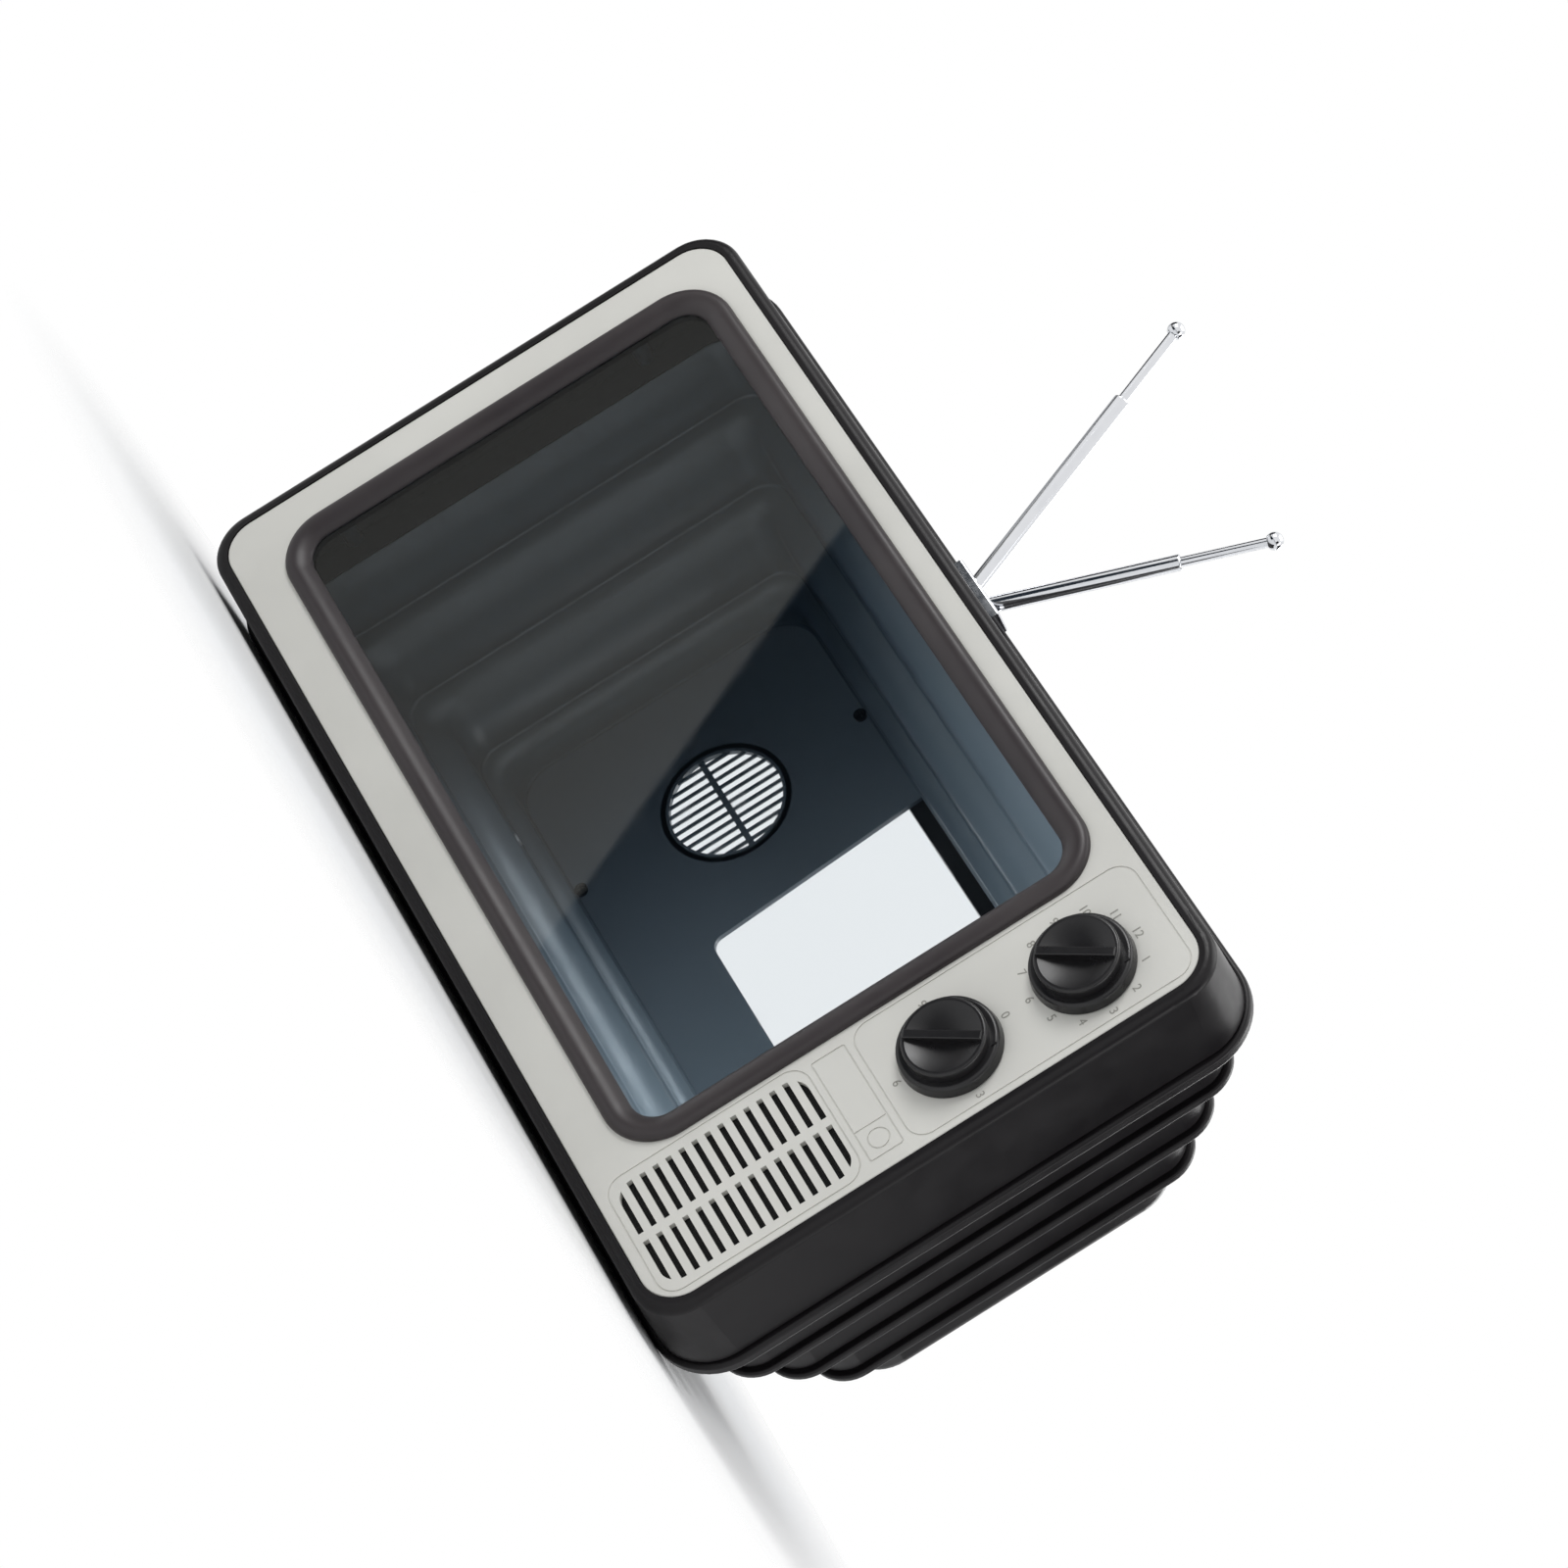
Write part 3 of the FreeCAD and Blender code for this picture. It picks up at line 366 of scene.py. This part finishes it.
def makeVent(name, node):
    # a round collar, turned from a rectangle, filled with thin upright slats whose half length is
    # the square root of radius squared less across squared, and one rib across the middle
    low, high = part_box(node)
    middle = (low + high) / 2
    front = low.y / mm
    inner, outer = ventLook["radius"] - 1.2, ventLook["radius"] + ventLook["rim"]
    turn = np.radians(np.arange(0, 360, 5.0))
    profile = np.array([(inner, 0.0), (outer - 0.4, 0.0), (outer, 0.4), (outer, 1.0), (inner + 1.0, 1.0),
                        (inner + 1.0, ventLook["ringThick"]), (inner, ventLook["ringThick"])])
    ring = np.stack([profile[None, :, 0] * np.cos(turn)[:, None],
                     np.broadcast_to(profile[None, :, 1], (len(turn), len(profile))),
                     profile[None, :, 0] * np.sin(turn)[:, None]], -1).reshape(-1, 3)
    ringFaces = gridFaces(len(turn), len(profile))
    across = (np.arange(ventLook["slats"]) - (ventLook["slats"] - 1) / 2) * ventLook["pitch"]
    reach = np.sqrt((inner + 0.5) ** 2 - across ** 2)
    centres = np.concatenate([np.stack([across, across * 0, across * 0], 1), [(0, 0, 0)]])
    sizes = np.concatenate([np.stack([across * 0 + ventLook["slatWide"] / 2, across * 0, reach], 1),
                            [(inner + 0.5, 0.0, ventLook["rib"] / 2)]])
    cube = np.array([(x, y, z) for x in (-1, 1) for y in (0, 1) for z in (-1, 1)], float)
    thick = np.array([1.0, ventLook["slatThick"], 1.0])
    boxes = centres[:, None] + cube[None] * np.where(sizes[:, None] > 0, sizes[:, None], 1.0) * thick
    boxes[:, :, 1] += 0.8
    boxes[-1, :, 1] += 0.1
    sides = np.array([(0, 1, 3, 2), (4, 6, 7, 5), (0, 4, 5, 1), (2, 3, 7, 6), (0, 2, 6, 4), (1, 5, 7, 3)])
    boxFaces = (sides[None] + 8 * np.arange(len(boxes))[:, None, None]).reshape(-1, 4) + len(ring)
    points = np.concatenate([ring, boxes.reshape(-1, 3)]) * mm
    points += np.array([middle.x, front * mm, middle.z])
    faces = np.concatenate([ringFaces, boxFaces])
    piece = meshPiece(name, points, faces, "panelAbsPaintedLight")
    piece.data.polygons.foreach_set("use_smooth", np.zeros(len(piece.data.polygons), bool))
    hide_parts(node)
    return piece


dialLook = {"radius": 21.9, "height": 4.6, "rise": 0.12, "lowerMarks": {0: "0", 90: "3", 180: "6", 270: "9"}}


def makeMarks(name, knob, marks):
    # plain numbers set round a knob, each upright, as shallow raised ink
    low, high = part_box(knob)
    centre = (low + high) / 2
    points, triangles, count = [], [], 0
    for angle, text in marks.items():
        font = bpy.data.curves.new("mark", "FONT")
        font.body = text
        font.size = dialLook["height"] * mm
        font.extrude = dialLook["rise"] * mm
        font.align_x = "CENTER"
        font.align_y = "CENTER"
        holder = bpy.data.objects.new("mark", font)
        bpy.context.scene.collection.objects.link(holder)
        bpy.context.view_layer.update()
        mesh = bpy.data.meshes.new_from_object(holder)
        bpy.data.objects.remove(holder)
        turn = math.radians(angle)
        place = Vector((centre.x + dialLook["radius"] * mm * math.sin(turn), facePlane,
                        centre.z + dialLook["radius"] * mm * math.cos(turn)))
        mesh.transform(Matrix.Translation(place) @ Matrix.Rotation(math.radians(90), 4, "X"))
        places = np.empty(len(mesh.vertices) * 3)
        mesh.vertices.foreach_get("co", places)
        mesh.calc_loop_triangles()
        corners = np.empty(len(mesh.loop_triangles) * 3, int)
        mesh.loop_triangles.foreach_get("vertices", corners)
        points.append(places.reshape(-1, 3))
        triangles.append(corners.reshape(-1, 3) + count)
        count += len(mesh.vertices)
        bpy.data.meshes.remove(mesh)
    mesh = bpy.data.meshes.new(name)
    mesh.from_pydata(np.concatenate(points).tolist(), [], np.concatenate(triangles).tolist())
    mesh.materials.append(finishes["markInk"])
    piece = bpy.data.objects.new(name, mesh)
    bpy.context.scene.collection.objects.link(piece)
    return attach(piece, "cabinet")


makeBezel()
makeLiner()
makeVent("leftVentGrille", "vent_left")
makeVent("rightVentGrille", "vent_right")
makeMarks("upperDialNumbers", "upper_knob_shaft", {30 * n: str(n) for n in range(1, 13)})
makeMarks("lowerDialNumbers", "lower_knob_shaft", dialLook["lowerMarks"])
print("pieces made")


def stageMesh(name, corners, material):
    mesh = bpy.data.meshes.new(name)
    mesh.from_pydata([tuple(c) for c in corners], [], [tuple(range(len(corners)))])
    mesh.materials.append(material)
    piece = bpy.data.objects.new(name, mesh)
    bpy.context.scene.collection.objects.link(piece)
    return piece


def paleFloor():
    # matt white floor that keeps the shadow near the case and melts into the white beyond
    material, tree, shader, place = newMaterial("paleFloor")
    shade = blendColour(tree, noise(tree, place, 900), "#F8F8F8", "#FCFCFC")
    tree.links.new(shade, shader.inputs["Base Color"])
    shader.inputs["Roughness"].default_value = 0.9
    shader.inputs["Specular IOR Level"].default_value = 0.0
    reach = addNode(tree, "ShaderNodeVectorMath", {"operation": "LENGTH"})
    tree.links.new(place, reach.inputs[0])
    fade = ramp(tree, reach.outputs["Value"], 0.21, 0.33, 0.0, 1.0)
    path = addNode(tree, "ShaderNodeLightPath").outputs["Is Camera Ray"]
    seen = addNode(tree, "ShaderNodeMath", {"operation": "MULTIPLY"})
    tree.links.new(fade, seen.inputs[0])
    tree.links.new(path, seen.inputs[1])
    clear = addNode(tree, "ShaderNodeBsdfTransparent")
    mix = addNode(tree, "ShaderNodeMixShader")
    tree.links.new(seen.outputs[0], mix.inputs[0])
    tree.links.new(shader.outputs["BSDF"], mix.inputs[1])
    tree.links.new(clear.outputs["BSDF"], mix.inputs[2])
    out = [node for node in tree.nodes if node.type == "OUTPUT_MATERIAL"][0]
    tree.links.new(mix.outputs[0], out.inputs["Surface"])
    return material


def emitter(name, colour, strength):
    material = bpy.data.materials.new(name)
    material.use_nodes = True
    tree = material.node_tree
    tree.nodes.clear()
    glow = addNode(tree, "ShaderNodeEmission", {"Color": hexColour(colour), "Strength": strength})
    out = addNode(tree, "ShaderNodeOutputMaterial")
    tree.links.new(glow.outputs[0], out.inputs["Surface"])
    return material


def fadingEmitter(name, colour, far, near):
    # glow that grows from the card's far edge to the edge beside the flag
    material = emitter(name, colour, near)
    tree = material.node_tree
    place = addNode(tree, "ShaderNodeTexCoord").outputs["Object"]
    across = addNode(tree, "ShaderNodeSeparateXYZ", None, {"Vector": place}).outputs["X"]
    glow = [node for node in tree.nodes if node.type == "EMISSION"][0]
    tree.links.new(ramp(tree, across, -0.95, -0.46, far, near), glow.inputs["Strength"])
    return material


viewLook = {"azimuth": 36.373, "elevation": -0.967, "roll": 57.96, "distance": 1926.9, "lens": 124.24,
            "aimAcross": 39.7, "aimUp": 21.4}


def makeCamera():
    azimuth, elevation = math.radians(viewLook["azimuth"]), math.radians(viewLook["elevation"])
    back = Vector((math.sin(azimuth) * math.cos(elevation), -math.cos(azimuth) * math.cos(elevation),
                   math.sin(elevation)))
    right = Vector((math.cos(azimuth), math.sin(azimuth), 0))
    up = back.cross(right)
    aim = Vector((faceMiddle.x + viewLook["aimAcross"] * mm, facePlane,
                  faceMiddle.z + viewLook["aimUp"] * mm))
    turn = Matrix.Rotation(math.radians(viewLook["roll"]), 3, back)
    camera = bpy.data.objects.new("camera", bpy.data.cameras.new("camera"))
    rightTurned, upTurned = turn @ right, turn @ up
    pose = Matrix((rightTurned, upTurned, back)).transposed().to_4x4()
    pose.translation = aim + back * viewLook["distance"] * mm
    camera.matrix_world = pose
    camera.data.lens = viewLook["lens"]
    camera.data.sensor_width = 36
    camera.data.clip_start = 0.05
    bpy.context.scene.collection.objects.link(camera)
    bpy.context.scene.camera = camera
    return camera


def addLamp(name, place, target, width, height, power):
    lamp = bpy.data.lights.new(name, "AREA")
    lamp.shape = "RECTANGLE"
    lamp.size, lamp.size_y, lamp.energy = width, height, power
    holder = bpy.data.objects.new(name, lamp)
    holder.location = place
    holder.rotation_euler = (Vector(target) - Vector(place)).to_track_quat("-Z", "Y").to_euler()
    bpy.context.scene.collection.objects.link(holder)
    return holder


def makeWorld(dim):
    world = bpy.data.worlds.new("studio")
    bpy.context.scene.world = world
    world.use_nodes = True
    tree = world.node_tree
    tree.nodes.clear()
    path = addNode(tree, "ShaderNodeLightPath")
    seen = addNode(tree, "ShaderNodeMath", {"operation": "MAXIMUM"})
    tree.links.new(path.outputs["Is Camera Ray"], seen.inputs[0])
    tree.links.new(path.outputs["Is Transmission Ray"], seen.inputs[1])
    # gloss and glass see the same white room as the camera does
    shiny = addNode(tree, "ShaderNodeMath", {"operation": "MAXIMUM"})
    tree.links.new(seen.outputs[0], shiny.inputs[0])
    tree.links.new(path.outputs["Is Glossy Ray"], shiny.inputs[1])
    soft = addNode(tree, "ShaderNodeBackground", {"Color": hexColour("#E9ECEF"), "Strength": dim})
    white = addNode(tree, "ShaderNodeBackground", {"Color": (1, 1, 1, 1), "Strength": 1.0})
    mix = addNode(tree, "ShaderNodeMixShader")
    tree.links.new(shiny.outputs[0], mix.inputs[0])
    tree.links.new(soft.outputs[0], mix.inputs[1])
    tree.links.new(white.outputs[0], mix.inputs[2])
    out = addNode(tree, "ShaderNodeOutputWorld")
    tree.links.new(mix.outputs[0], out.inputs["Surface"])


stageLook = {"floorHalf": 6.0, "cardDistance": 0.6}


def makeStage():
    half = stageLook["floorHalf"]
    floor = [(-half, -half, 0), (half, -half, 0), (half, half, 0), (-half, half, 0)]
    stageMesh("floor", floor, paleFloor())
    # a pale card and a dark flag stand front left; the pane mirrors the slanted edge between them
    camera = bpy.context.scene.camera.location
    near = paneLow.y - camera.y
    grow = (near + stageLook["cardDistance"]) / near
    outlines = {"paleCard": ([(-67.6, 130.0), (66.6, -130.0), (-420.0, -130.0), (-420.0, 130.0)],
                             fadingEmitter("paleCard", "#D2D1CC", 0.12, 0.8)),
                "darkFlag": ([(-67.6, 130.0), (66.6, -130.0), (420.0, -130.0), (420.0, 130.0)],
                             emitter("darkFlag", "#3A444E", 0.5))}
    for name, (outline, material) in outlines.items():
        flat = np.array(outline) * mm + np.array([faceMiddle.x, faceMiddle.z])
        eye = np.array([camera.x, camera.z])
        flat = eye + (flat - eye) * grow
        corners = [(x, paneLow.y - stageLook["cardDistance"], z) for x, z in flat.tolist()]
        card = stageMesh(name, corners, material)
        card.visible_diffuse = card.visible_camera = card.visible_shadow = False
    # dark flags that only gloss sees: they keep the black sides deep and streak the chrome
    flags = {"backFlag": [(0.45, 1.3, 0.0), (2.6, 1.3, 0.0), (2.6, 1.3, 1.0), (0.45, 1.3, 1.0)],
             "leftFlag": [(-1.5, -1.0, 0.25), (-1.5, 0.2, 0.25), (-1.5, 0.2, 1.5), (-1.5, -1.0, 1.5)],
             "rightFlag": [(1.9, -1.2, 0.2), (1.9, -0.2, 0.2), (1.9, -0.2, 1.4), (1.9, -1.2, 1.4)]}
    for name, corners in flags.items():
        flag = stageMesh(name, corners, emitter(name, "#2C2D30", 0.6))
        flag.visible_diffuse = flag.visible_camera = flag.visible_shadow = False
        flag.visible_transmission = False


makeCamera()
makeWorld(0.36)
addLamp("keyLamp", (-1.1, -2.0, 1.7), (0, 0, 0.12), 1.4, 1.0, 34)
addLamp("sideLamp", (2.2, 0.6, 1.1), (0.1, 0, 0.12), 0.25, 1.6, 12)
addLamp("topLamp", (0.2, 0.2, 2.2), (0, 0, 0.1), 1.6, 1.6, 18)
addLamp("backLamp", (0.3, 2.0, 0.8), (0, 0.05, 0.12), 1.2, 1.0, 16)
makeStage()
bpy.context.scene.view_settings.view_transform = "Standard"
print("stage ready")
